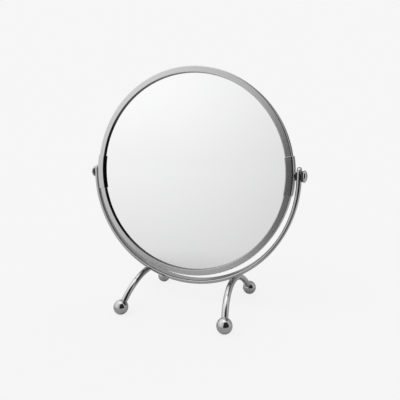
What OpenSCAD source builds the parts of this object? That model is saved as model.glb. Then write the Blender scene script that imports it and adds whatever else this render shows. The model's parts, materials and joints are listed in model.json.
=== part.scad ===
// Round two-sided cosmetic mirror that spins in a curved bar on four ball feet.
// Z is up, the flat glass faces -Y, and the feet stand on z = 0.

/* [Mirror ring] */
// Outside diameter of the ring
ring_d = 170; // [120:1:240]
// Width of the polished flange, from the lip to the outside
flange_w = 5; // [4.2:0.1:9]
// Slope of the flange, falling away from the lip, in degrees
flange_slope = 8; // [0:1:15]
// Radius of the rounded shoulder between flange and outer wall
shoulder_r = 1.2; // [1:0.1:1.8]
// Sheet thickness of the rolled rim
rim_sheet = 0.8; // [0.5:0.1:1]
// Depth of the lip, from its edge back to the glass
lip_depth = 2.3; // [1.8:0.1:3]
// Gap between the two half rims, hidden inside each clip
rim_gap = 0.5; // [0.2:0.1:2]
// Resting tilt of the mirror, top towards the back, in degrees
mirror_tilt = 1.5; // [-20:0.5:20]

/* [Glass] */
// Thickness of each glass
glass_t = 1.8; // [1.5:0.1:3]
// Hollow of the magnifying glass at its middle
magnifier_sag = 2.9; // [1:0.1:5]
// Air gap between the two glasses at the middle
belly_gap = 0.9; // [0.4:0.1:3]
// Width of the flat edge of the magnifying glass inside the lip
flat_edge_w = 0.5; // [0.3:0.1:2]

/* [Core ring] */
// Play between a glass edge and the skirt of the core ring
glass_play = 0.25; // [0.1:0.05:0.6]
// Play between the core ring and the rim wall
core_play = 0.15; // [0.1:0.05:0.3]
// Play round a stud head in the core ring
head_play = 0.4; // [0.2:0.1:1]

/* [Rim clips] */
// Length of a clip along the ring
clip_len = 30; // [16:1:50]
// Sheet thickness of a clip
clip_sheet = 0.9; // [0.5:0.1:1.5]
// How far the clip's hem turns in over the lip
clip_hem = 1.3; // [0.6:0.1:1.6]
// Thickness of that hem
clip_hem_t = 0.5; // [0.3:0.1:0.8]
// Height of the flat land that carries the washer
clip_land = 0.2; // [0.15:0.05:0.6]
// How much wider than the washer the land is
clip_land_margin = 1; // [0.4:0.1:2]

/* [Pivots] */
// Diameter of a pivot stud
stud_d = 4; // [3:0.5:5]
// Diameter of the stud's head inside the rim
stud_head_d = 7; // [6:0.1:8]
// Thickness of the stud's head at its middle
stud_head_t = 1.3; // [1:0.1:2]
// Gap between a stud head and the glass edge
stud_edge_gap = 0.3; // [0.2:0.1:1]
// Depth that the stud reaches into the cap nut
stud_reach = 1.9; // [1.5:0.1:3]
// Diametral play of the stud in the eye of the bar
pivot_play = 0.1; // [0.06:0.02:0.2]
// Diametral play of the stud in the clips and washers
hole_play = 0.2; // [0.1:0.05:0.5]
// Diametral play of the stud in the cap nut's thread
thread_play = 0.04; // [0.02:0.02:0.2]

/* [Washers and cap nuts] */
// Diameter of the black inner washer
inner_washer_d = 6.2; // [5.4:0.1:8]
// Thickness of the black inner washer
inner_washer_t = 1.1; // [0.6:0.1:2.5]
// Diameter of the dark outer washer
outer_washer_d = 8.2; // [6:0.1:10]
// Thickness of the dark outer washer
outer_washer_t = 1.1; // [0.6:0.1:2.5]
// Largest diameter of a cap nut
cap_d = 9.3; // [7:0.1:12]
// Length of a cap nut
cap_len = 3.2; // [3:0.1:6]
// Diameter of the cap nut's flat seat
cap_seat_d = 7; // [6:0.1:7.4]
// Length of the rounded flank behind the largest diameter
cap_flank = 0.9; // [0.6:0.1:1.6]

/* [Bar] */
// Thickness of the curved bar, across its bend
bar_t = 3.3; // [2:0.1:5]
// Width of the curved bar, front to back
bar_w = 8.5; // [7:0.1:14]
// Radius of the bar's rounded edges
bar_edge_r = 1.2; // [0.4:0.1:1.4]
// How far the bend's centre lies below the pivots
bar_drop = 2.9; // [0:0.1:12]
// How far the rounded ends rise above the pivots
bar_rise = 7; // [4.5:0.1:14]

/* [Legs and feet] */
// Diameter of the leg rod
leg_d = 5.3; // [4:0.1:7]
// Angle round the bend from its lowest point to each leg, in degrees
leg_station = 25.5; // [15:0.5:40]
// Outward lean of each leg from upright, in degrees
leg_lean = 11.6; // [0:0.1:25]
// Bend radius at the crown of a leg
leg_crown_r = 45.3; // [30:0.1:60]
// Angle that each half of the crown bend turns down from level, in degrees
leg_bend = 48.7806; // [40:0.0001:60]
// Length of the straight run, from the bend to the middle of the ball
leg_run = 7.5; // [6:0.1:20]
// Depth that the weld seat sinks the rod below the bar's surface
weld_seat = 0.8; // [0.4:0.1:1.2]
// Diameter of a ball foot
foot_d = 12; // [10:0.1:16]
// Diameter of the small flat that a foot stands on
foot_flat_d = 3.6; // [2.4:0.1:5]
// Depth that the rod's shoulder sits below the ball's skin
foot_seat = 0.2; // [0.1:0.05:0.6]
// Diameter of the spigot turned on each end of the rod
spigot_d = 3.6; // [2.4:0.1:4.4]
// Length of that spigot
spigot_len = 6; // [3:0.1:8]
// Diametral play of the rod and its spigot in the foot
foot_play = 0.06; // [0.02:0.02:0.2]

/* [Hidden] */
$fn = 96;
// Points on each rounded edge
edge_steps = 6;
// Rings of the magnifying glass between its middle and its edge
sag_steps = 10;
// Overrun of every cut
over = 1;

// Ring and glass, as a stack from front to back
core_web = magnifier_sag + belly_gap;
half_core = core_web / 2;
half_pack = half_core + glass_t;
half_depth = half_pack + lip_depth;
ring_r = ring_d / 2;
wall_r = ring_r - rim_sheet;
lip_r = ring_r - flange_w;
glass_r = wall_r - stud_head_t - stud_edge_gap;
belly_r = lip_r - flat_edge_w;
shoulder_c = ring_r - shoulder_r;
flange_fall = (shoulder_c + shoulder_r * sin(flange_slope) - lip_r) * tan(flange_slope);
shoulder_h = half_depth - flange_fall - shoulder_r * cos(flange_slope);

// Pivot stack along X, from the rim out to the cap nut
clip_r = ring_r + clip_sheet;
clip_arc = clip_len / ring_r * 180 / PI;
land_x = clip_r + clip_land;
land_d = inner_washer_d + clip_land_margin;
bar_in = land_x + inner_washer_t;
bar_r = bar_in + bar_t / 2;
bar_out = bar_in + bar_t;
nut_x = bar_out + outer_washer_t;

// One leg in its own plane, from the crown down to the middle of the ball
foot_r = foot_d / 2;
shoulder_at = sqrt(foot_r * foot_r - leg_d * leg_d / 4) - foot_seat;
ball = [leg_crown_r * sin(leg_bend) + leg_run * cos(leg_bend),
    leg_crown_r * (cos(leg_bend) - 1) - leg_run * sin(leg_bend)];

// Heights above the floor
foot_z = sqrt(foot_r * foot_r - foot_flat_d * foot_flat_d / 4);
crown_reach = bar_r + bar_t / 2 + leg_d / 2 - weld_seat;
crown_x = crown_reach * sin(leg_station);
crown_z = foot_z - ball[1] * cos(leg_lean);
foot_x = crown_x - ball[1] * sin(leg_lean);
bend_z = crown_z + crown_reach * cos(leg_station);
pivot_z = bend_z + bar_drop;

chrome = [0.78, 0.79, 0.80];
mirror_glass = [0.88, 0.91, 0.93];
black = [0.07, 0.07, 0.08];
core_grey = [0.32, 0.32, 0.34];

// Points on an arc, from one angle to the other
function arc(c, r, from, to, n) =
    [for (i = [0 : n]) c + r * [cos(from + (to - from) * i / n), sin(from + (to - from) * i / n)]];

// The same points seen in the other face of the ring
function flipped(pts) = [for (i = [len(pts) - 1 : -1 : 0]) [pts[i][0], -pts[i][1]]];

// Front half of the rim's outline grown by g, from radius r_in out to the wall
function front_outline(g, r_in) =
    let (s = arc([shoulder_c, shoulder_h], shoulder_r + g, 90 - flange_slope, 0, edge_steps))
    concat([[r_in, s[0][1] + (s[0][0] - r_in) * tan(flange_slope)]], s);

// Whole outline of the rim grown by g, a closed polygon in radius and depth
function rim_outline(g, r_in) = concat(front_outline(g, r_in), flipped(front_outline(g, r_in)));

// Depth of the magnifying glass's hollow at radius r
function sag(r) = r >= belly_r ? 0 : magnifier_sag * (1 - r * r / (belly_r * belly_r));

// Axis of the ring along Y, its front towards -Y
module ring_frame() {
    translate([0, 0, pivot_z])
        rotate([-mirror_tilt, 0, 0])
            rotate([90, 0, 0])
                children();
}

// Axis of a pivot along X, pointing out of the ring; side is 1 or -1
module pivot_frame(side) {
    translate([0, 0, pivot_z])
        rotate([-mirror_tilt, 0, 0])
            mirror([1 - side, 0, 0])
                rotate([0, 90, 0])
                    children();
}

// Rolled channel with a sloping flange and an inward lip on each face
module rim_channel() {
    difference() {
        polygon(rim_outline(0, lip_r));
        polygon(rim_outline(-rim_sheet, lip_r + rim_sheet));
        translate([lip_r - over, -half_pack])
            square([rim_sheet + over + 0.05, 2 * half_pack]);
    }
}

// One half rim; turn is 0 for the upper half and 180 for the lower
module half_rim(turn) {
    gap_a = rim_gap / 2 / ring_r * 180 / PI;
    difference() {
        ring_frame()
            rotate([0, 0, turn + gap_a])
                rotate_extrude(angle = 180 - 2 * gap_a)
                    rim_channel();
        for (side = [-1, 1])
            pivot_frame(side)
                translate([0, 0, lip_r])
                    cylinder(d = stud_d + hole_play, h = flange_w + over);
    }
}

// Sleeve that holds both half rims and carries the stud
module rim_clip(side) {
    difference() {
        union() {
            pivot_frame(side)
                rotate([0, -90, 0])
                    rotate([90, 0, 0])
                        rotate([0, 0, -clip_arc / 2])
                            rotate_extrude(angle = clip_arc)
                                clip_section();
            pivot_frame(side)
                translate([0, 0, ring_r + clip_sheet / 2])
                    cylinder(d = land_d, h = clip_sheet / 2 + clip_land);
        }
        pivot_frame(side)
            translate([0, 0, lip_r])
                cylinder(d = stud_d + hole_play, h = flange_w + clip_sheet + over);
    }
}

// Section of the sleeve, hugging the rim's outline and turned in over its lips
module clip_section() {
    difference() {
        polygon(rim_outline(clip_sheet, lip_r - clip_hem_t));
        polygon(rim_outline(0, lip_r));
        translate([lip_r - clip_hem_t - over, clip_hem - half_depth])
            square([clip_hem_t + 2 * over, 2 * (half_depth - clip_hem)]);
    }
}

// Flat glass in the front
module flat_disc() {
    ring_frame()
        translate([0, 0, half_core])
            cylinder(r = glass_r, h = glass_t);
}

// Slumped glass in the back, hollow towards the user and flat at its edge
module hollow_disc() {
    outer = [for (i = [0 : sag_steps]) let (r = belly_r * i / sag_steps) [r, sag(r) - half_pack]];
    inner = [for (i = [sag_steps : -1 : 0]) let (r = belly_r * i / sag_steps) [r, sag(r) - half_core]];
    ring_frame()
        rotate_extrude()
            polygon(concat(outer, [[glass_r, -half_pack], [glass_r, -half_core]], inner));
}

// Moulded ring that spaces the glasses and centres them in the rim
module core() {
    skirt_in = glass_r + glass_play;
    skirt_out = wall_r - core_play;
    difference() {
        ring_frame()
            rotate_extrude()
                polygon([
                    [belly_r, -half_core],
                    [skirt_in, -half_core],
                    [skirt_in, -half_pack],
                    [skirt_out, -half_pack],
                    [skirt_out, half_pack],
                    [skirt_in, half_pack],
                    [skirt_in, half_core],
                    [belly_r, half_core]
                ]);
        for (side = [-1, 1])
            pivot_frame(side)
                translate([0, 0, wall_r - stud_head_t - stud_edge_gap / 2])
                    cylinder(d = stud_head_d + 2 * head_play, h = stud_head_t + over);
    }
}

// Stud with a head that bears on the inside of the rim wall
module stud(side) {
    union() {
        intersection() {
            pivot_frame(side)
                translate([0, 0, wall_r - stud_head_t])
                    cylinder(d = stud_head_d, h = stud_head_t + over);
            ring_frame()
                translate([0, 0, -stud_head_d])
                    cylinder(r = wall_r, h = 2 * stud_head_d);
        }
        pivot_frame(side)
            translate([0, 0, wall_r - stud_head_t])
                cylinder(d = stud_d, h = nut_x + stud_reach - wall_r + stud_head_t);
    }
}

// Flat washer on the pivot
module washer(side, x, d, t) {
    pivot_frame(side)
        translate([0, 0, x])
            difference() {
                cylinder(d = d, h = t);
                translate([0, 0, -over])
                    cylinder(d = stud_d + hole_play, h = t + 2 * over);
            }
}

// Domed nut that closes the pivot
module cap_nut(side) {
    dome_h = cap_len - cap_flank;
    flank = [for (i = [0 : edge_steps]) let (a = 90 * i / edge_steps)
        [cap_seat_d / 2 + (cap_d - cap_seat_d) / 2 * sin(a), cap_flank * (1 - cos(a))]];
    dome = [for (i = [1 : 2 * edge_steps]) let (a = 90 * i / (2 * edge_steps))
        [cap_d / 2 * cos(a), cap_flank + dome_h * sin(a)]];
    pivot_frame(side)
        translate([0, 0, nut_x])
            difference() {
                rotate_extrude()
                    polygon(concat([[0, 0]], flank, dome));
                translate([0, 0, -over])
                    cylinder(d = stud_d + thread_play, h = stud_reach + over);
            }
}

// Rounded half of the bar's section, from its middle out to one edge
function bar_half() = concat(
    [[0, -bar_t / 2]],
    arc([bar_w / 2 - bar_edge_r, bar_edge_r - bar_t / 2], bar_edge_r, -90, 0, edge_steps),
    arc([bar_w / 2 - bar_edge_r, bar_t / 2 - bar_edge_r], bar_edge_r, 0, 90, edge_steps),
    [[0, bar_t / 2]]
);

// Section of the bar, its thickness along the first axis
module bar_section() {
    half = bar_half();
    polygon(concat([for (p = half) [p[1], p[0]]], [for (i = [len(half) - 2 : -1 : 1]) [half[i][1], -half[i][0]]]));
}

// The bent part of the bar
module bar_bend() {
    translate([0, 0, bend_z])
        rotate([90, 0, 0])
            rotate([0, 0, 180])
                rotate_extrude(angle = 180)
                    translate([bar_r, 0])
                        bar_section();
}

// The straight, round-ended end of the bar on one side
module bar_end(side) {
    eye_z = pivot_z + bar_rise - bar_w / 2;
    translate([side * bar_r, 0, bend_z])
        linear_extrude(height = eye_z - bend_z)
            bar_section();
    translate([side * bar_r, 0, eye_z])
        rotate([0, 90, 0])
            rotate_extrude()
                polygon(bar_half());
}

// Curved bar with an eye at each end
module bar() {
    difference() {
        union() {
            bar_bend();
            bar_end(-1);
            bar_end(1);
        }
        for (side = [-1, 1])
            pivot_frame(side)
                translate([0, 0, bar_in - over])
                    cylinder(d = stud_d + pivot_play, h = bar_t + 2 * over);
    }
}

// Plane of a leg: X runs to the back, Y runs up the lean, the origin is the crown
module leg_frame(side) {
    mirror([1 - side, 0, 0])
        translate([crown_x, 0, crown_z])
            rotate([0, -leg_lean, 0])
                rotate([90, 0, 90])
                    children();
}

// Where the straight run leaves the crown bend, X along the rod
module run_frame() {
    translate([0, -leg_crown_r, 0])
        rotate([0, 0, -leg_bend])
            translate([0, leg_crown_r, 0])
                rotate([0, 90, 0])
                    children();
}

// Round bend at the crown of a leg, ending square where its straight runs begin
module crown_bend() {
    far = 10 * ceil(leg_crown_r / 5);
    translate([0, -leg_crown_r, 0])
        intersection() {
            rotate_extrude()
                translate([leg_crown_r, 0])
                    circle(d = leg_d);
            linear_extrude(height = 2 * leg_d, center = true)
                polygon([[0, 0], far * [sin(leg_bend), cos(leg_bend)], far * [-sin(leg_bend), cos(leg_bend)]]);
        }
}

// One bent rod, seated on the underside of the bar
module leg(side) {
    difference() {
        leg_frame(side) {
            crown_bend();
            for (turn = [0, 180])
                rotate([0, turn, 0])
                    run_frame() {
                        cylinder(d = leg_d, h = leg_run - shoulder_at);
                        translate([0, 0, -over])
                            cylinder(d = spigot_d, h = over + leg_run - shoulder_at + spigot_len);
                    }
        }
        bar_bend();
    }
}

// One ball foot, bored for the rod and flat where it stands
module foot(side, end) {
    difference() {
        translate([side * foot_x, end * ball[0], foot_z])
            sphere(d = foot_d);
        leg_frame(side)
            rotate([0, 90 - 90 * end, 0])
                run_frame() {
                    translate([0, 0, leg_run - foot_d])
                        cylinder(d = leg_d + foot_play, h = foot_d - shoulder_at);
                    translate([0, 0, leg_run - foot_d])
                        cylinder(d = spigot_d + foot_play, h = foot_d - shoulder_at + spigot_len);
                }
        translate([side * foot_x - foot_d, end * ball[0] - foot_d, -foot_d])
            cube([2 * foot_d, 2 * foot_d, foot_d]);
    }
}

module yoke() {
    color(chrome)
        bar();
}

module left_leg() {
    color(chrome)
        leg(-1);
}

module right_leg() {
    color(chrome)
        leg(1);
}

module front_left_foot() {
    color(chrome)
        foot(-1, -1);
}

module front_right_foot() {
    color(chrome)
        foot(1, -1);
}

module rear_left_foot() {
    color(chrome)
        foot(-1, 1);
}

module rear_right_foot() {
    color(chrome)
        foot(1, 1);
}

module upper_rim() {
    color(chrome)
        half_rim(0);
}

module lower_rim() {
    color(chrome)
        half_rim(180);
}

module left_rim_clip() {
    color(chrome)
        rim_clip(-1);
}

module right_rim_clip() {
    color(chrome)
        rim_clip(1);
}

module front_glass() {
    color(mirror_glass)
        flat_disc();
}

module rear_glass() {
    color(mirror_glass)
        hollow_disc();
}

module core_ring() {
    color(core_grey)
        core();
}

module left_pivot_stud() {
    color(chrome)
        stud(-1);
}

module right_pivot_stud() {
    color(chrome)
        stud(1);
}

module left_inner_washer() {
    color(black)
        washer(-1, land_x, inner_washer_d, inner_washer_t);
}

module right_inner_washer() {
    color(black)
        washer(1, land_x, inner_washer_d, inner_washer_t);
}

module left_outer_washer() {
    color(black)
        washer(-1, bar_out, outer_washer_d, outer_washer_t);
}

module right_outer_washer() {
    color(black)
        washer(1, bar_out, outer_washer_d, outer_washer_t);
}

module left_cap_nut() {
    color(chrome)
        cap_nut(-1);
}

module right_cap_nut() {
    color(chrome)
        cap_nut(1);
}

yoke();
left_leg();
right_leg();
front_left_foot();
front_right_foot();
rear_left_foot();
rear_right_foot();
upper_rim();
lower_rim();
left_rim_clip();
right_rim_clip();
front_glass();
rear_glass();
core_ring();
left_pivot_stud();
right_pivot_stud();
left_inner_washer();
right_inner_washer();
left_outer_washer();
right_outer_washer();
left_cap_nut();
right_cap_nut();
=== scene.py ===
import json
import math

import bmesh
import bpy
from mathutils import Matrix, Vector


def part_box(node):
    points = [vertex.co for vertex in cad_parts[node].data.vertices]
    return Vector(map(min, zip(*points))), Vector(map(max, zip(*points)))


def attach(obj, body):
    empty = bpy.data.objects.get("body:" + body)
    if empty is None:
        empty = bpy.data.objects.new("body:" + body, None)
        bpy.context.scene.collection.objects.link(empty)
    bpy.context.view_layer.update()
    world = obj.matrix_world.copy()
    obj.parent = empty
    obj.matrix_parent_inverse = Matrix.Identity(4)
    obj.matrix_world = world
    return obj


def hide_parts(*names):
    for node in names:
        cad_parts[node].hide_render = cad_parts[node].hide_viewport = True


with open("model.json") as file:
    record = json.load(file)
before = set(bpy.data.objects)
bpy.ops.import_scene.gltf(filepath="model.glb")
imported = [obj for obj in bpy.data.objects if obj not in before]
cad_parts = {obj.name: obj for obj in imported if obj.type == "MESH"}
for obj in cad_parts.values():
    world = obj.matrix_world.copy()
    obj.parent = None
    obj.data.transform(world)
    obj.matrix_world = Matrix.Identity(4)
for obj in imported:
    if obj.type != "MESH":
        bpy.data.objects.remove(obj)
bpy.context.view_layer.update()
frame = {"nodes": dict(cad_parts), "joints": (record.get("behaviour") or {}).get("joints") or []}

# Chromed bar
# A flat steel bar with rounded edges, bent to a half circle round the ring and left straight at both
# ends, where it is rounded off and drilled for the pivots. It is polished and chromed after welding.


class Sock:
    """A shader socket that takes part in Python expressions, or a bare tree to add the first node to."""

    def __init__(self, tree, socket=None):
        self.tree = tree
        self.socket = socket

    def node(self, kind, settings=None, output=0, **inputs):
        """Adds a node and returns one of its outputs; _3 stands for its fourth input, and _ for a space."""
        made = self.tree.nodes.new(kind)
        for key, value in (settings or {}).items():
            setattr(made, key, value)
        for key, value in inputs.items():
            name = int(key[1:]) if key[0] == "_" else key.replace("_", " ")
            if isinstance(value, Sock):
                self.tree.links.new(value.socket, made.inputs[name])
            else:
                made.inputs[name].default_value = value
        return Sock(self.tree, made.outputs[output])

    def sibling(self, output):
        return Sock(self.tree, self.socket.node.outputs[output])

    def maths(self, operation, *values):
        spots = {f"_{i}": value for i, value in enumerate(values)}
        return self.node("ShaderNodeMath", {"operation": operation}, **spots)

    def of(self, operation, *others):
        return self.maths(operation, self, *others)

    def __add__(self, other):
        return self.maths("ADD", self, other)

    def __radd__(self, other):
        return self.maths("ADD", other, self)

    def __sub__(self, other):
        return self.maths("SUBTRACT", self, other)

    def __rsub__(self, other):
        return self.maths("SUBTRACT", other, self)

    def __mul__(self, other):
        return self.maths("MULTIPLY", self, other)

    def __rmul__(self, other):
        return self.maths("MULTIPLY", other, self)

    def ramp(self, low, high):
        """0 at low, 1 at high, and smooth between."""
        smooth = {"interpolation_type": "SMOOTHSTEP"}
        return self.node("ShaderNodeMapRange", smooth, Value=self, From_Min=low, From_Max=high)

    def tint(self, low, high):
        """The colour low where this is 0, and the colour high where it is 1."""
        ends = [colour if isinstance(colour, Sock) else (*colour, 1.0) for colour in (low, high)]
        return self.node("ShaderNodeMix", {"data_type": "RGBA"}, output=2, _0=self, _6=ends[0], _7=ends[1])

    def split(self):
        """The three parts of a vector."""
        first = self.node("ShaderNodeSeparateXYZ", Vector=self)
        return first, first.sibling(1), first.sibling(2)


def material(name):
    """An empty node material, its own Principled BSDF, and the place on the piece."""
    made = bpy.data.materials.new(name)
    made.use_nodes = True
    tree = made.node_tree
    place = Sock(tree).node("ShaderNodeTexCoord", output="Object")
    return made, tree.nodes["Principled BSDF"], place


def wire(node, **sockets):
    """Links expressions to the inputs of a node that is there from the start."""
    for key, value in sockets.items():
        value.tree.links.new(value.socket, node.inputs[key.replace("_", " ")])


MIRROR_BRIGHT = 0.03
# Painted shade: the dark colour put in the gap where a lip meets the glass.
GAP_SHADE_PAINT = (0.055, 0.055, 0.055)


def chrome(
    name, roughness, wear, lines, line_depth, low=(0.44, 0.445, 0.445), high=(0.48, 0.482, 0.48),
    brushed=None, clear_of_gap_shade=None,
):
    """Bright plating over polished metal: faint clouds of wear, and the fine lines that polishing leaves.

    lines turns the place on the piece into the lines' own coordinates. brushed is 1 where the face is
    brushed and 0 where it's mirror bright, and clear_of_gap_shade is 0 where shade is painted dark in the gap
    at a lip and 1 beside it.
    """
    made, surface, place = material(name)
    surface.inputs["Metallic"].default_value = 1.0
    cloud = place.node("ShaderNodeTexNoise", Vector=place, Scale=60.0, Detail=3.0, Roughness=0.55)
    grain = place.node("ShaderNodeTexNoise", Vector=lines(place), Scale=1.0, Detail=2.0, Roughness=0.6)
    tint = cloud.tint(low, high)
    matt = roughness + wear * cloud + wear * grain
    if brushed:
        share = brushed(place)
        matt = MIRROR_BRIGHT + (matt - MIRROR_BRIGHT) * share
        grain = grain * share
    # Painted shade in the gap where a lip meets the glass.
    if clear_of_gap_shade:
        tint = clear_of_gap_shade(place).tint(GAP_SHADE_PAINT, tint)
    bump = place.node("ShaderNodeBump", Height=grain, Strength=1.0, Distance=line_depth)
    wire(surface, Base_Color=tint, Roughness=matt, Normal=bump)
    return made


LINES_PER_METRE = 7000.0
BREAKS_PER_RADIAN = 12.0


def lines_round(axis, centre_z):
    """Polishing lines that run round an axis through the height centre_z, which lies along X or Y."""

    def lines(place):
        x, y, z = place.split()
        side, along_axis = (x, y) if axis == "Y" else (y, x)
        up = z - centre_z
        reach = (side * side + up * up).of("SQRT")
        turn = up.of("ARCTAN2", side)
        return place.node(
            "ShaderNodeCombineXYZ",
            X=reach * LINES_PER_METRE, Y=along_axis * LINES_PER_METRE, Z=turn * BREAKS_PER_RADIAN,
        )

    return lines


SHARP_FROM = math.radians(35)


def finished(mesh):
    """Smooth faces between sharp edges, with the flat and wide ones kept true."""
    mesh.validate()
    mesh.polygons.foreach_set("use_smooth", [True] * len(mesh.polygons))
    mesh.set_sharp_from_angle(angle=SHARP_FROM)
    holder = bpy.data.objects.new("holder", mesh)
    bpy.context.scene.collection.objects.link(holder)
    level = holder.modifiers.new("level", "WEIGHTED_NORMAL")
    level.keep_sharp = True
    level.weight = 90
    bpy.context.view_layer.update()
    done = bpy.data.meshes.new_from_object(holder.evaluated_get(bpy.context.evaluated_depsgraph_get()))
    bpy.data.objects.remove(holder)
    return done


def add_piece(name, mesh, finish, slot, body, *nodes):
    """Puts a mesh in the scene as a finished piece in place of its CAD nodes."""
    done = finished(mesh)
    done.materials.clear()
    done.materials.append(finish)
    piece = bpy.data.objects.new(name, done)
    bpy.context.scene.collection.objects.link(piece)
    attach(piece, body)
    if nodes:
        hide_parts(*nodes)
    return piece


def rounded(corners, steps=8):
    """A closed outline through corners, each given by two sizes and the radius that rounds it off."""
    points = []
    for i, (x, y, radius) in enumerate(corners):
        here = Vector((x, y))
        if radius <= 0:
            points.append(here)
            continue
        back = (Vector(corners[i - 1][:2]) - here).normalized()
        ahead = (Vector(corners[(i + 1) % len(corners)][:2]) - here).normalized()
        half = back.angle(ahead) / 2
        centre = here + (back + ahead).normalized() * radius / math.sin(half)
        first = here + back * radius / math.tan(half) - centre
        last = here + ahead * radius / math.tan(half) - centre
        sweep = math.atan2(first.x * last.y - first.y * last.x, first.dot(last))
        for k in range(steps + 1):
            points.append(centre + Matrix.Rotation(sweep * k / steps, 2) @ first)
    return points


def reworked(mesh, change):
    """The same mesh after a change, which is a function of its bmesh."""
    work = bmesh.new()
    work.from_mesh(mesh)
    change(work)
    work.to_mesh(mesh)
    work.free()
    return mesh


NO_LENGTH = 1e-9
SAME_POINT = 1e-7


def loft(name, rings, whole):
    """A closed mesh through rings of points; whole joins the last ring to the first."""
    work = bmesh.new()
    rows = [[work.verts.new(point) for point in ring] for ring in rings]
    spans = list(zip(rows, rows[1:])) + ([(rows[-1], rows[0])] if whole else [])
    for near, far in spans:
        for k in range(len(near)):
            corners = (near[k - 1], near[k], far[k], far[k - 1])
            if (corners[0].co - corners[3].co).length + (corners[1].co - corners[2].co).length > NO_LENGTH:
                work.faces.new(corners)
    if not whole:
        work.faces.new(rows[0])
        work.faces.new(rows[-1])
    bmesh.ops.remove_doubles(work, verts=work.verts, dist=SAME_POINT)
    bmesh.ops.recalc_face_normals(work, faces=work.faces)
    mesh = bpy.data.meshes.new(name)
    work.to_mesh(mesh)
    work.free()
    return mesh


def turned(name, outline, seat, start=0.0, sweep=360.0, steps=192):
    """A mesh turned from an outline of (radius, height) points round the Z axis of seat."""
    whole = sweep >= 360.0
    rings = []
    for k in range(steps if whole else steps + 1):
        angle = math.radians(start + sweep * k / steps)
        rings.append([seat @ Vector((r * math.cos(angle), r * math.sin(angle), h)) for r, h in outline])
    return loft(name, rings, whole)


def joined(name, *meshes, weld=0.0):
    """One mesh of several; weld merges points that are nearer than it."""
    work = bmesh.new()
    for mesh in meshes:
        work.from_mesh(mesh)
    if weld:
        bmesh.ops.remove_doubles(work, verts=work.verts, dist=weld)
    mesh = bpy.data.meshes.new(name)
    work.to_mesh(mesh)
    work.free()
    return mesh


def carved(mesh, tool):
    """What is left of a mesh when another is cut out of it."""
    blank = bpy.data.objects.new("blank", mesh)
    cutter = bpy.data.objects.new("cutter", tool)
    for thing in (blank, cutter):
        bpy.context.scene.collection.objects.link(thing)
    cut = blank.modifiers.new("cut", "BOOLEAN")
    cut.operation = "DIFFERENCE"
    cut.solver = "EXACT"
    cut.object = cutter
    bpy.context.view_layer.update()
    left = bpy.data.meshes.new_from_object(blank.evaluated_get(bpy.context.evaluated_depsgraph_get()))
    bpy.data.objects.remove(blank)
    bpy.data.objects.remove(cutter)
    return left


def sweep_tree(name, labels, section):
    """Geometry nodes that sweep a section along the line they are given.

    labels names the inputs of sizes, and section adds the nodes of the section and returns its curve.
    """
    tree = bpy.data.node_groups.new(name, "GeometryNodeTree")
    face = tree.interface
    face.new_socket("Line", in_out="INPUT", socket_type="NodeSocketGeometry")
    for label in labels:
        face.new_socket(label, in_out="INPUT", socket_type="NodeSocketFloat")
    face.new_socket("Fill Ends", in_out="INPUT", socket_type="NodeSocketBool")
    face.new_socket("Finish", in_out="INPUT", socket_type="NodeSocketMaterial")
    face.new_socket("Swept", in_out="OUTPUT", socket_type="NodeSocketGeometry")
    nodes, link = tree.nodes, tree.links.new
    given = nodes.new("NodeGroupInput")
    run = nodes.new("GeometryNodeCurveToMesh")
    link(given.outputs["Line"], run.inputs["Curve"])
    link(section(nodes, link, given), run.inputs["Profile Curve"])
    link(given.outputs["Fill Ends"], run.inputs["Fill Caps"])
    real = nodes.new("GeometryNodeRealizeInstances")
    link(run.outputs["Mesh"], real.inputs["Geometry"])
    coat = nodes.new("GeometryNodeSetMaterial")
    link(real.outputs["Geometry"], coat.inputs["Geometry"])
    link(given.outputs["Finish"], coat.inputs["Material"])
    link(coat.outputs["Geometry"], nodes.new("NodeGroupOutput").inputs["Swept"])
    return tree


def swept(name, points, tree, closed=False, **sizes):
    """The plain mesh that a tree makes along a line of points."""
    line = bpy.data.curves.new(name + "_line", "CURVE")
    line.dimensions = "3D"
    spline = line.splines.new("POLY")
    spline.points.add(len(points) - 1)
    for spot, point in zip(spline.points, points):
        spot.co = (*point, 1.0)
    spline.use_cyclic_u = closed
    carrier = bpy.data.objects.new(name + "_line", line)
    bpy.context.scene.collection.objects.link(carrier)
    run = carrier.modifiers.new("run", "NODES")
    run.node_group = tree
    for item in tree.interface.items_tree:
        key = item.name.replace(" ", "_")
        if item.in_out == "INPUT" and key in sizes:
            run[item.identifier] = sizes[key]
    bpy.context.view_layer.update()
    mesh = bpy.data.meshes.new_from_object(carrier.evaluated_get(bpy.context.evaluated_depsgraph_get()))
    bpy.data.objects.remove(carrier)
    return mesh


pivot = Vector(frame["joints"][0]["pos_m"])
bar_low, bar_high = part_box("yoke")
bar_out = bar_high.x
bar_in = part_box("right_inner_washer")[1].x
bar_t = bar_out - bar_in
bar_w = 2 * bar_high.y
bar_mid = (bar_in + bar_out) / 2
bar_edge = 0.0012
edge_steps = 10
bend_z = bar_low.z + bar_out
eye_z = bar_high.z - bar_w / 2
eye_hole_r = 0.00205
bore_past = 0.01
bend_steps = 180
weld_reach = 0.000003


def bar_section(nodes, link, given):
    """A flat section with rounded edges."""
    flat = nodes.new("GeometryNodeCurvePrimitiveQuadrilateral")
    link(given.outputs["Thickness"], flat.inputs["Width"])
    link(given.outputs["Width"], flat.inputs["Height"])
    edge = nodes.new("GeometryNodeFilletCurve")
    edge.mode = "POLY"
    edge.inputs["Count"].default_value = edge_steps
    link(flat.outputs["Curve"], edge.inputs["Curve"])
    link(given.outputs["Edge Radius"], edge.inputs["Radius"])
    return edge.outputs["Curve"]


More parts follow.
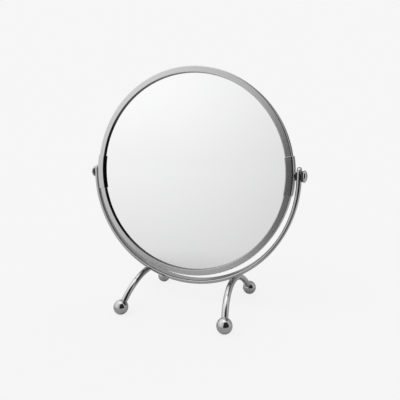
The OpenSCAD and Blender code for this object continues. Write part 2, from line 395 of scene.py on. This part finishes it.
chrome_bar = chrome("chrome_bar", 0.045, 0.02, lines_round("Y", bend_z), 0.0000004)
bar_line = [Vector((-bar_mid, 0, eye_z))]
for k in range(bend_steps + 1):
    turn = math.pi * k / bend_steps
    bar_line.append(Vector((-bar_mid * math.cos(turn), 0, bend_z - bar_mid * math.sin(turn))))
bar_line.append(Vector((bar_mid, 0, eye_z)))
bar_tree = sweep_tree("bent_bar", ("Width", "Thickness", "Edge Radius"), bar_section)
bar_bend = swept(
    "bar", bar_line, bar_tree,
    Width=bar_w, Thickness=bar_t, Edge_Radius=bar_edge, Fill_Ends=False, Finish=chrome_bar,
)


def halve_long_ends(work):
    """Gives each long edge of the bar's open ends a point in its middle, where the eye has one."""
    long_ends = [edge for edge in work.edges if edge.is_boundary and edge.calc_length() > bar_w / 2]
    bmesh.ops.subdivide_edges(work, edges=long_ends, cuts=1)


def open_flat_end(work):
    """Takes out the flat end of an eye, where the bar runs on."""
    level = [face for face in work.faces if abs(face.normal.z) > 0.999]
    end = [face for face in level if abs(face.calc_center_median().z - eye_z) < 1e-6]
    bmesh.ops.delete(work, geom=end, context="FACES")


half_eye = rounded([
    (0, -bar_t / 2, 0),
    (bar_w / 2, -bar_t / 2, bar_edge),
    (bar_w / 2, bar_t / 2, bar_edge),
    (0, bar_t / 2, 0),
], edge_steps)
on_x = Matrix.Rotation(math.pi / 2, 4, "Y") @ Matrix.Rotation(math.pi / 2, 4, "Z")
eyes = []
for side in (-1, 1):
    eye_seat = Matrix.Translation((side * bar_mid, 0, eye_z)) @ on_x
    eyes.append(reworked(turned("eye", half_eye, eye_seat, sweep=180, steps=48), open_flat_end))
bar_whole = joined("bar", reworked(bar_bend, halve_long_ends), *eyes, weld=weld_reach)
bore_end = bar_out + bore_past
bore = [(0, -bore_end), (eye_hole_r, -bore_end), (eye_hole_r, bore_end), (0, bore_end)]
bar_mesh = carved(bar_whole, turned("bore", bore, Matrix.Translation(pivot) @ on_x, steps=64))
add_piece("chromed_bar", bar_mesh.copy(), chrome_bar, "chrome", "stand", "yoke")

# Rod legs
# Each leg is one round steel rod, bent to an arch and turned down to a spigot at both ends. Its crown is
# seated on the underside of the bar and welded there all round, and the bead is polished before plating.
rod_r = 0.00265
crown_r = 0.0453
crown_bend = math.radians(48.7806)
leg_run = 0.0075
leg_lean = math.radians(11.6)
foot_low, foot_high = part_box("front_right_foot")
foot_r = (foot_high.x - foot_low.x) / 2
foot_at = (foot_low + foot_high) / 2
foot_at.z = foot_high.z - foot_r
foot_seat = 0.0002
shoulder_at = math.sqrt(foot_r**2 - rod_r**2) - foot_seat
spigot_r = 0.0018
spigot_len = 0.006
spigot_root = 0.001
leg_drop = crown_r * (1 - math.cos(crown_bend)) + leg_run * math.sin(crown_bend)
leg_span = crown_r * math.sin(crown_bend) + leg_run * math.cos(crown_bend)
crown_at = Vector((foot_at.x - leg_drop * math.sin(leg_lean), 0, foot_at.z + leg_drop * math.cos(leg_lean)))


def leg_seat(side):
    """Plane of a leg: X runs to the back, Y up the lean, and the origin is the crown."""
    up = Vector((-side * math.sin(leg_lean), 0, math.cos(leg_lean)))
    back = Vector((0, 1, 0))
    seat = Matrix((back, up, back.cross(up))).transposed().to_4x4()
    return Matrix.Translation((side * crown_at.x, 0, crown_at.z)) @ seat


def leg_point(run):
    """Place along the rod's middle in the leg's plane, at a length run from the crown."""
    way = math.copysign(1, run)
    turn = min(abs(run) / crown_r, crown_bend)
    past = max(abs(run) - crown_r * crown_bend, 0)
    return Vector((
        way * (crown_r * math.sin(turn) + past * math.cos(crown_bend)),
        crown_r * (math.cos(turn) - 1) - past * math.sin(crown_bend),
        0,
    ))


def rod_section(nodes, link, given):
    """A round section."""
    ring = nodes.new("GeometryNodeCurvePrimitiveCircle")
    ring.inputs["Resolution"].default_value = 40
    link(given.outputs["Radius"], ring.inputs["Radius"])
    return ring.outputs["Curve"]


chrome_rod = chrome("chrome_rod", 0.04, 0.02, lines_round("X", crown_at.z - crown_r), 0.0000003)
rod_tree = sweep_tree("bent_rod", ("Radius",), rod_section)
shoulder = crown_r * crown_bend + leg_run - shoulder_at
leg_steps = 128
bead_r = 0.00032
bead_half_len, bead_half_w = 0.0040, 0.00196
bead_steps = 64


def rounder(value, power):
    """A sine or cosine raised to a power, so that an oval grows squarer; the sign is kept."""
    return math.copysign(abs(value) ** power, value)


for side, name in ((-1, "left"), (1, "right")):
    seat = leg_seat(side)
    rod_line = [seat @ leg_point(shoulder * (2 * k / leg_steps - 1)) for k in range(leg_steps + 1)]
    rod = carved(
        swept("rod", rod_line, rod_tree, Radius=rod_r, Fill_Ends=True, Finish=chrome_rod),
        bar_mesh.copy(),
    )
    spigots = []
    for way in (-1, 1):
        spigot_line = [seat @ leg_point(way * run) for run in (shoulder - spigot_root, shoulder + spigot_len)]
        spigots.append(
            swept("spigot", spigot_line, rod_tree, Radius=spigot_r, Fill_Ends=True, Finish=chrome_rod)
        )
    bead_line = []
    for k in range(bead_steps):
        turn = 2 * math.pi * k / bead_steps
        run = bead_half_len * rounder(math.cos(turn), 0.35)
        sideways = bead_half_w * rounder(math.sin(turn), 0.7)
        spot = seat @ (leg_point(run) + Vector((0, 0, sideways)))
        outward = Vector((spot.x, 0, spot.z - bend_z)).normalized()
        bead_line.append(Vector((outward.x * bar_out, spot.y, bend_z + outward.z * bar_out)))
    bead = swept(
        "bead", bead_line, rod_tree, closed=True, Radius=bead_r, Fill_Ends=False, Finish=chrome_rod
    )
    leg = joined("leg", rod, bead, *spigots)
    add_piece(name + "_rod_leg", leg, chrome_rod, "chrome", "stand", name + "_leg")

# Ball feet
# Each foot is a turned steel ball, bored for the spigot of its rod and pressed on. It has a small flat
# where it stands, and it is polished and plated with the rest of the stand.


def buffed(place):
    """Fine marks of buffing that run no one way."""
    return place.node("ShaderNodeVectorMath", {"operation": "SCALE"}, _0=place, Scale=900.0)


chrome_ball = chrome("chrome_ball", 0.03, 0.02, buffed, 0.0000006)
press_ease = 0.00003
socket_r = rod_r + press_ease
socket_lip, socket_lip_h = 0.00012, 0.00008
ball_top = math.sqrt(foot_r**2 - (socket_r + socket_lip) ** 2)
ball_steps = 96
ball_outline = [(0.0, -foot_r)]
for k in range(1, ball_steps + 1):
    rise = (math.asin(ball_top / foot_r) + math.pi / 2) * k / ball_steps - math.pi / 2
    ball_outline.append((foot_r * math.cos(rise), foot_r * math.sin(rise)))
ball_outline += [
    (socket_r, ball_top - socket_lip_h),
    (socket_r, shoulder_at),
    (spigot_r + press_ease, shoulder_at),
    (spigot_r + press_ease, shoulder_at - spigot_len),
    (0.0, shoulder_at - spigot_len),
]


def stand_flat(work):
    """Cuts a ball off level with the table, and closes the flat that it stands on."""
    cut = bmesh.ops.bisect_plane(
        work, geom=work.verts[:] + work.edges[:] + work.faces[:], dist=1e-8,
        plane_co=(0, 0, 0), plane_no=(0, 0, -1), clear_outer=True,
    )
    flat_edges = [part for part in cut["geom_cut"] if isinstance(part, bmesh.types.BMEdge)]
    bmesh.ops.contextual_create(work, geom=flat_edges)
    bmesh.ops.recalc_face_normals(work, faces=work.faces)


for side, side_name in ((-1, "left"), (1, "right")):
    seat = leg_seat(side)
    for end, end_name in ((-1, "front"), (1, "rear")):
        middle = Vector((side * foot_at.x, end * leg_span, foot_at.z))
        up_rod = seat @ leg_point(end * shoulder) - seat @ leg_point(end * (shoulder + spigot_len))
        ball_seat = Matrix.Translation(middle) @ up_rod.to_track_quat("Z", "Y").to_matrix().to_4x4()
        ball = reworked(turned("ball", ball_outline, ball_seat, steps=96), stand_flat)
        place_name = f"{end_name}_{side_name}"
        add_piece(place_name + "_ball", ball, chrome_ball, "chrome", "stand", place_name + "_foot")

# Half rims
# The ring is two half circles of rolled steel channel that hold both glasses by their edges. Each flange
# slopes outwards to a rounded shoulder and is turned in over the glass, and it shows the lines of rolling.
ring_r = 0.085
flange_angle = math.radians(3.8)
flange_slope = math.tan(flange_angle)
sheet = 0.0008
lip_r = 0.080
half_depth = 0.00574
half_pack = 0.0037
shoulder_r = 0.0009
rim_gap = 0.0005
half_gap = math.degrees(rim_gap / 2 / ring_r)
mirror_tilt = math.radians(1.5)
ring_seat = Matrix.Translation(pivot) @ Matrix.Rotation(math.pi / 2 - mirror_tilt, 4, "X")


def flange_h(radius, lift=0.0):
    """Height of the flange's face at a radius, or of a face that lies lift beyond it."""
    return half_depth - (radius - lip_r) * flange_slope + lift / math.cos(flange_angle)


def both_faces(front):
    """A closed outline from its front half, given from the inside outwards and back to the inside."""
    outer, inner = front[:len(front) // 2], front[len(front) // 2:]
    back = [(r, -h, fillet) for r, h, fillet in reversed(outer)]
    back += [(r, -h, fillet) for r, h, fillet in reversed(inner)]
    return outer + back + inner


rim_outline = rounded(both_faces([
    (lip_r, half_pack, 0.00025),
    (lip_r, flange_h(lip_r), 0.00045),
    (ring_r, flange_h(ring_r), shoulder_r),
    (ring_r - sheet, flange_h(ring_r - sheet, -sheet), 0.0004),
    (lip_r + sheet, flange_h(lip_r + sheet, -sheet), 0.0001),
    (lip_r + sheet, half_pack, 0.00025),
]))
rim_low, rim_high = (0.512, 0.517, 0.517), (0.552, 0.554, 0.552)
lip_edge = (0.0003, 0.0006)
# Where the painted shade in the gap at the lip fades out.
gap_shade_edge = (0.00008, 0.0002)


def across(*stops):
    """A share by distance from the ring's middle: each stop is where it goes from 0 to 1, or back."""

    def share(place):
        x, y, z = place.split()
        up = z - pivot.z + y * math.tan(mirror_tilt)
        reach = (x * x + up * up).of("SQRT")
        total = reach.ramp(*stops[0])
        for stop in stops[1:]:
            total = total * reach.ramp(*stop)
        return total

    return share


def flange_finish(inner_r, brushed_to, bright_from):
    """A face brushed between its mirror-bright edges, with shade painted dark at inner_r, in the gap where
    its lip meets the glass.
    """
    return {
        "brushed": across((inner_r + lip_edge[0], inner_r + lip_edge[1]), (bright_from, brushed_to)),
        "clear_of_gap_shade": across((inner_r + gap_shade_edge[0], inner_r + gap_shade_edge[1])),
    }


chrome_rim = chrome(
    "chrome_rim", 0.22, 0.06, lines_round("Y", pivot.z), 0.0000012, rim_low, rim_high,
    **flange_finish(lip_r, brushed_to=ring_r - 0.0008, bright_from=ring_r - 0.0003),
)
for turn, name in ((0, "upper"), (180, "lower")):
    rim = turned("rim", rim_outline, ring_seat, start=turn + half_gap, sweep=180 - 2 * half_gap, steps=180)
    add_piece(name + "_half_rim", rim, chrome_rim, "chrome", "mirror", name + "_rim")

# Mirror glasses
# The front glass is flat, and the back one is slumped to a shallow hollow that magnifies. Both are
# silvered behind and have their sharp edges taken off, and they lie back to back inside the ring.
silver, surface, place = material("silvered_glass")
surface.inputs["Metallic"].default_value = 1.0
surface.inputs["Coat Weight"].default_value = 1.0
surface.inputs["Coat IOR"].default_value = 1.52
surface.inputs["Coat Roughness"].default_value = 0.0
haze = place.node("ShaderNodeTexNoise", Vector=place, Scale=25.0, Detail=4.0, Roughness=0.5)
tint = haze.tint((0.925, 0.932, 0.928), (0.94, 0.945, 0.942))
wire(surface, Base_Color=tint, Roughness=0.012 * haze.ramp(0.45, 0.8))
glass_r = 0.0826
glass_t = 0.0018
arris = 0.0003
sag = 0.0029
sag_steps = 48
belly_r = lip_r - 0.0005
flat_glass = rounded([
    (0, half_pack - glass_t, 0),
    (glass_r, half_pack - glass_t, arris),
    (glass_r, half_pack, arris),
    (0, half_pack, 0),
], 3)
front_pane = turned("glass", flat_glass, ring_seat)
add_piece("flat_glass", front_pane, silver, "mirror_glass", "mirror", "front_glass")
hollow = [(belly_r * k / sag_steps, sag * (1 - (k / sag_steps) ** 2)) for k in range(sag_steps + 1)]
hollow_glass = (
    [(r, h - half_pack) for r, h in hollow]
    + [(glass_r - arris, -half_pack), (glass_r, -half_pack + arris)]
    + [(glass_r, glass_t - half_pack - arris), (glass_r - arris, glass_t - half_pack)]
    + [(r, h + glass_t - half_pack) for r, h in reversed(hollow)]
)
rear_pane = turned("glass", hollow_glass, ring_seat)
add_piece("magnifying_glass", rear_pane, silver, "mirror_glass", "mirror", "rear_glass")

# Core ring
# A moulded plastic ring between the glasses holds them apart and centres them in the rim. It is hidden
# once the ring is closed, so the moulded surface is plain, with the faint texture of its tool.
core_plastic, surface, place = material("core_plastic")
pores = place.node("ShaderNodeTexNoise", Vector=place, Scale=700.0, Detail=2.0, Roughness=0.6)
tint = pores.tint((0.27, 0.27, 0.29), (0.33, 0.33, 0.35))
bump = place.node("ShaderNodeBump", Height=pores, Strength=1.0, Distance=0.00002)
wire(surface, Base_Color=tint, Roughness=0.5 + 0.15 * pores, Normal=bump)
core = frame["nodes"]["core_ring"]
core.data.materials.clear()
core.data.materials.append(core_plastic)

# Rim clips
# At each pivot a bent sleeve covers the joint of the half rims and holds them together. It is hemmed in
# over the lips, its ends are filed smooth, and a low round land on it bears against the first washer.
clip_sheet = 0.0009
clip_hem = 0.0013
clip_hem_t = 0.0005
clip_ease = 0.00002
clip_end = 0.0003
clip_end_steps = 6
clip_len = 0.030
half_clip = math.degrees(clip_len / 2 / ring_r)


def clip_outline(sheet_t):
    """Section of the sleeve where its sheet is sheet_t thick over the rim."""
    hem_r = lip_r - clip_hem_t * sheet_t / clip_sheet
    return rounded(both_faces([
        (hem_r, half_depth - clip_hem, 0.00015),
        (hem_r, flange_h(hem_r, sheet_t), 0.0006 * sheet_t / clip_sheet),
        (ring_r + sheet_t, flange_h(ring_r + sheet_t, sheet_t), shoulder_r + sheet_t),
        (ring_r + clip_ease, flange_h(ring_r + clip_ease, clip_ease), shoulder_r + clip_ease),
        (lip_r - clip_ease, flange_h(lip_r - clip_ease, clip_ease), 0.0001),
        (lip_r - clip_ease, half_depth - clip_hem, 0.00015),
    ]))


chrome_clip = chrome(
    "chrome_clip", 0.20, 0.05, lines_round("Y", pivot.z), 0.0000008, rim_low, rim_high,
    **flange_finish(lip_r - clip_hem_t, brushed_to=ring_r - 0.0004, bright_from=ring_r + 0.0002),
)
clip_steps = 60
eased = math.degrees(clip_end / ring_r)
clip_stations = []
for k in range(clip_end_steps + 1):
    turn = math.pi / 2 * k / clip_end_steps
    clip_stations.append(
        (-half_clip + eased * (1 - math.cos(turn)), clip_sheet - clip_end * (1 - math.sin(turn)))
    )
far_end = [(-angle, sheet_t) for angle, sheet_t in reversed(clip_stations)]
for k in range(1, clip_steps):
    clip_stations.append((-half_clip + eased + (2 * half_clip - 2 * eased) * k / clip_steps, clip_sheet))
clip_stations += far_end
land_r = 0.0036
land_root = 0.0008
land_edge = 0.00012
land_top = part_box("right_rim_clip")[1].x


def outwards(side):
    """Seat whose Z axis runs out along the pivots to a side."""
    return Matrix.Translation(pivot) @ Matrix.Rotation(side * math.pi / 2, 4, "Y")


for side, name in ((-1, "left"), (1, "right")):
    middle = 0 if side > 0 else 180
    rings = []
    for angle, sheet_t in clip_stations:
        station = ring_seat @ Matrix.Rotation(math.radians(middle + angle), 4, "Z")
        rings.append([station @ Vector((r, 0, h)) for r, h in clip_outline(sheet_t)])
    sleeve = loft("sleeve", rings, False)
    land = turned("land", rounded([
        (0, land_top - land_root, 0),
        (land_r, land_top - land_root, 0),
        (land_r, land_top, land_edge),
        (0, land_top, 0),
    ]), outwards(side), steps=96)
    clip = joined("clip", sleeve, land)
    add_piece(name + "_clip", clip, chrome_clip, "chrome", "mirror", name + "_rim_clip")

# Pivot studs
# A turned steel stud is held by its head behind the rim and passes out through the clip, the washers and
# the eye of the bar. Its threaded end is inside the cap nut, and it carries the tool marks of turning.
turned_steel = chrome(
    "turned_steel", 0.22, 0.08, lines_round("X", pivot.z), 0.000002,
    low=(0.50, 0.51, 0.52), high=(0.58, 0.59, 0.60),
)
for name in ("left", "right"):
    stud = frame["nodes"][name + "_pivot_stud"]
    stud.data.materials.clear()
    stud.data.materials.append(turned_steel)

# Washers
# Two black nylon washers keep each eye of the bar from rubbing: a small thick one against the clip, and
# a wider one under the cap nut. They are moulded with soft edges and a slight satin.
nylon, surface, place = material("black_nylon")
pores = place.node("ShaderNodeTexNoise", Vector=place, Scale=1500.0, Detail=2.0, Roughness=0.6)
tint = pores.tint((0.014, 0.014, 0.015), (0.026, 0.026, 0.028))
bump = place.node("ShaderNodeBump", Height=pores, Strength=1.0, Distance=0.00001)
wire(surface, Base_Color=tint, Roughness=0.38 + 0.12 * pores, Normal=bump)
washer_hole_r = 0.0021
washer_hole_edge, washer_edge = 0.0001, 0.00022
for side, name in ((-1, "left"), (1, "right")):
    for kind in ("inner", "outer"):
        low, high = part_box(f"{name}_{kind}_washer")
        near, far = min(abs(low.x), abs(high.x)), max(abs(low.x), abs(high.x))
        washer_r = (high.z - low.z) / 2
        washer = turned("washer", rounded([
            (washer_hole_r, near, washer_hole_edge),
            (washer_r, near, washer_edge),
            (washer_r, far, washer_edge),
            (washer_hole_r, far, washer_hole_edge),
        ], 6), outwards(side), steps=96)
        place_name = f"{name}_{kind}"
        add_piece(place_name + "_nylon", washer, nylon, "black_nylon", "mirror", place_name + "_washer")

# Cap nuts
# A domed nut closes each pivot. It is turned from bar with a rounded flank and a smooth dome, tapped
# from behind for the stud, and polished and plated bright.
chrome_nut = chrome("chrome_nut", 0.035, 0.02, lines_round("X", pivot.z), 0.0000004)
nut_seat_r = 0.0035
nut_flank = 0.0009
nut_bore_r = 0.00203
nut_bore_h = 0.0019
flank_steps, dome_steps = 16, 40
for side, name in ((-1, "left"), (1, "right")):
    low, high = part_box(name + "_cap_nut")
    near, far = min(abs(low.x), abs(high.x)), max(abs(low.x), abs(high.x))
    nut_r = (high.z - low.z) / 2
    nut_outline = [(0, nut_bore_h), (nut_bore_r, nut_bore_h), (nut_bore_r, 0)]
    for k in range(flank_steps + 1):
        turn = math.pi / 2 * k / flank_steps
        bulge = (nut_r - nut_seat_r) * math.sin(turn)
        nut_outline.append((nut_seat_r + bulge, nut_flank * (1 - math.cos(turn))))
    for k in range(1, dome_steps):
        turn = math.pi / 2 * k / dome_steps
        rise = (far - near - nut_flank) * math.sin(turn)
        nut_outline.append((nut_r * math.cos(turn), nut_flank + rise))
    nut_outline.append((0, far - near))
    nut = turned("nut", nut_outline, outwards(side) @ Matrix.Translation((0, 0, near)), steps=128)
    add_piece(name + "_domed_nut", nut, chrome_nut, "chrome", "mirror", name + "_cap_nut")

# Photographer's table
# A plain pale table top under a pale cloth tent, with a soft lamp, and the camera where the photograph's
# stood. Polished metal shows the tent: bright to the upper left, and open and dark beside the camera.
PALE = 0.9216
DEG = 180.0 / math.pi


def tent_light(azimuth, height):
    """How bright the tent is at an azimuth, from the front to the right, and a height, in degrees."""
    left = 0.49 * azimuth.ramp(-165.0, -110.0) * azimuth.ramp(50.0, -40.0)
    right = 0.36 * azimuth.ramp(60.0, 95.0) * azimuth.ramp(165.0, 125.0)
    lamp_box = 0.5 * azimuth.ramp(-165.0, -130.0) * azimuth.ramp(-35.0, -75.0) * height.ramp(16.0, 42.0)
    upper_left = 0.12 * azimuth.ramp(15.0, -25.0) * height.ramp(-4.0, 13.0)
    sheen = 0.21 * (1.2 * height - azimuth).ramp(44.5, 54.0)
    sheen = sheen * azimuth.ramp(-21.0, -29.0) * azimuth.ramp(-78.0, -50.0)
    behind = (azimuth.ramp(112.0, 148.0) + azimuth.ramp(-132.0, -158.0)) * height.ramp(17.0, 4.0)
    return (0.43 + left + right + lamp_box + upper_left + sheen) * (1.0 - 0.58 * behind)


# The tent: what the metal mirrors, the pale ground that the camera sees, and the soft light on the rest.
world = bpy.data.worlds.new("tent")
bpy.context.scene.world = world
world.use_nodes = True
tree = world.node_tree
look = Sock(tree).node("ShaderNodeTexCoord", output="Generated")
wx, wy, wz = look.split()
azimuth = wx.of("ARCTAN2", 0.0 - wy) * DEG
height = (wz.of("ARCSINE") * DEG).of("MAXIMUM", 0.0)
ceiling = 0.35 * height.ramp(60.0, 72.0) + 0.8 * height.ramp(70.0, 80.0)
camera_ray = look.node("ShaderNodeLightPath")
glossy = camera_ray.sibling("Is Glossy Ray")
soft_light = 0.81
level = glossy * (tent_light(azimuth, height) + ceiling)
level = level + (1.0 - glossy) * (camera_ray * PALE + (1.0 - camera_ray) * soft_light)
wire(tree.nodes["Background"], Color=level)

# The table top: pale to the camera. The metal and the glass mirror it with painted shadow: dimmer round the
# stand, at a spot to its front left and out to its front right, and further out it fades into the tent. The
# fade goes by how far below level the camera sees the table by way of the glass.
floor_work = bmesh.new()
bmesh.ops.create_circle(floor_work, cap_ends=True, radius=6.0, segments=96)
floor_mesh = bpy.data.meshes.new("table_top")
floor_work.to_mesh(floor_mesh)
floor_work.free()
floor = bpy.data.objects.new("table_top", floor_mesh)
bpy.context.scene.collection.objects.link(floor)
made, surface, place = material("pale_table")
surface.inputs["Roughness"].default_value = 1.0
surface.inputs["Specular IOR Level"].default_value = 0.0
camera_ray = place.node("ShaderNodeLightPath")
glossy = camera_ray.sibling("Is Glossy Ray")
fx, fy, fz = place.split()
reach = (fx * fx + fy * fy).of("SQRT")
azimuth = fx.of("ARCTAN2", 0.0 - fy) * DEG
# Painted shadow: a darker spot on the mirrored table to the front left of the stand.
shadow_spot_x, shadow_spot_y = fx + 0.105, fy + 0.085
from_shadow_spot = (shadow_spot_x * shadow_spot_x + shadow_spot_y * shadow_spot_y).of("SQRT")
# Painted shadow: the mirrored table is darker round the stand.
near_painted_shadow = (0.65 + 0.10 * reach.ramp(0.08, 0.23)) * (0.71 + 0.29 * from_shadow_spot.ramp(0.018, 0.065))
camera_h, camera_reach = 0.134, 0.275
below = (camera_h * (reach + camera_reach).of("POWER", -1.0)).of("ARCTANGENT") * DEG
far_below, near_below = 1.3, 20.0
closeness = ((below - far_below) * (1.0 / (near_below - far_below))).of("MINIMUM", 1.0).of("MAXIMUM", 0.0)
# Painted shade: the mirrored table is darker out to its front right.
shade = 0.84 * fx.ramp(0.008, 0.055) * fy.ramp(-0.055, -0.2)
horizon = 0.0 * fz
seen = (near_painted_shadow * closeness + tent_light(azimuth, horizon) * (1.0 - closeness)) * (1.0 - shade)
wire(surface, Base_Color=glossy.tint((0.92, 0.92, 0.92), seen))
# Further out the table glows in reflections with this painted tone, though it is no lamp. Nearer the stand it
# is a diffuse surface of this tone.
glow = place.node("ShaderNodeEmission", Color=glossy * seen + (1.0 - glossy) * PALE, Strength=1.0)
as_glow = 0.9 * camera_ray + glossy * reach.ramp(0.12, 0.5)
blend = place.node("ShaderNodeMixShader", _0=as_glow, _1=Sock(place.tree, surface.outputs["BSDF"]), _2=glow)
wire(place.tree.nodes["Material Output"], Surface=blend)
floor_mesh.materials.append(made)

# The opening of the tent: a dim room beside the camera, which only the metal and the glass show.
opening_left, opening_left_top = Vector((0.031, -0.520, 0)), Vector((0.130, -0.447, 1.10))
opening_right, opening_right_top = Vector((0.620, -0.087, 0)), Vector((0.740, 0.001, 1.10))
opening_work = bmesh.new()
opening_work.faces.new([opening_work.verts.new(corner) for corner in (
    opening_left, opening_right, opening_right_top, opening_left_top,
)])
opening_mesh = bpy.data.meshes.new("tent_opening")
opening_work.to_mesh(opening_mesh)
opening_work.free()
opening = bpy.data.objects.new("tent_opening", opening_mesh)
bpy.context.scene.collection.objects.link(opening)
made, _, place = material("dark_room")
gloom = place.node("ShaderNodeTexNoise", Vector=place, Scale=6.0, Detail=2.0)
glow = place.node("ShaderNodeEmission", Color=0.02 + 0.03 * gloom, Strength=1.0)
wire(place.tree.nodes["Material Output"], Surface=glow)
opening_mesh.materials.append(made)
for ray_kind in ("camera", "diffuse", "shadow", "transmission", "volume_scatter"):
    setattr(opening, "visible_" + ray_kind, False)

# A broad soft lamp, high to the front left, and the camera.
lamp = bpy.data.lights.new("soft_lamp", "SUN")
lamp.energy = 0.75
lamp.angle = math.radians(50)
lamp_seat = bpy.data.objects.new("soft_lamp", lamp)
lamp_seat.rotation_euler = (math.radians(38), 0, math.radians(-40))
lamp_seat.visible_glossy = False
bpy.context.scene.collection.objects.link(lamp_seat)

lens = bpy.data.cameras.new("camera")
lens.sensor_width = 36.0
lens.lens = 32.476
lens.clip_start = 0.01
camera_at = Vector((0.116351, -0.275233, 0.134494))
camera_turn, camera_dip, camera_roll = math.radians(21.091), math.radians(8.363), math.radians(-0.141)
camera = bpy.data.objects.new("camera", lens)
camera.matrix_world = (
    Matrix.Translation(camera_at)
    @ Matrix.Rotation(camera_turn, 4, "Z")
    @ Matrix.Rotation(math.pi / 2 - camera_dip, 4, "X")
    @ Matrix.Rotation(camera_roll, 4, "Z")
)
bpy.context.scene.collection.objects.link(camera)
bpy.context.scene.camera = camera
bpy.context.scene.view_settings.view_transform = "Standard"
